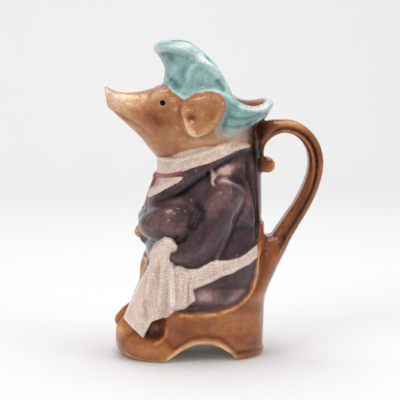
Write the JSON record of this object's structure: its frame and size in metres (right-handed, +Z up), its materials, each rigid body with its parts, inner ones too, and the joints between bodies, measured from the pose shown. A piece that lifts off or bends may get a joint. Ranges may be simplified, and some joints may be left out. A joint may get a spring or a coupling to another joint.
{
  "type": "figural pitcher",
  "caption": "Hollow glazed earthenware pitcher in the form of a seated pig waiter; the liquid is poured over the peaked cap and a scrolled handle rises from the stool.",
  "frame": {"origin": "centre of the bounding box at its bottom, on the surface the pitcher stands on", "axes": "+Z up, the pig looks along -X and pours that way, the handle is at +X, the arm with the napkin is on the -Y side"},
  "size_m": [0.166, 0.0981, 0.2395],
  "materials": {
    "glaze": "glossy lead glazes in ochre, turquoise, aubergine, cream and brown over earthenware"
  },
  "bodies": {
    "root": {"pig_pitcher": "glaze"}
  },
  "joints": []
}
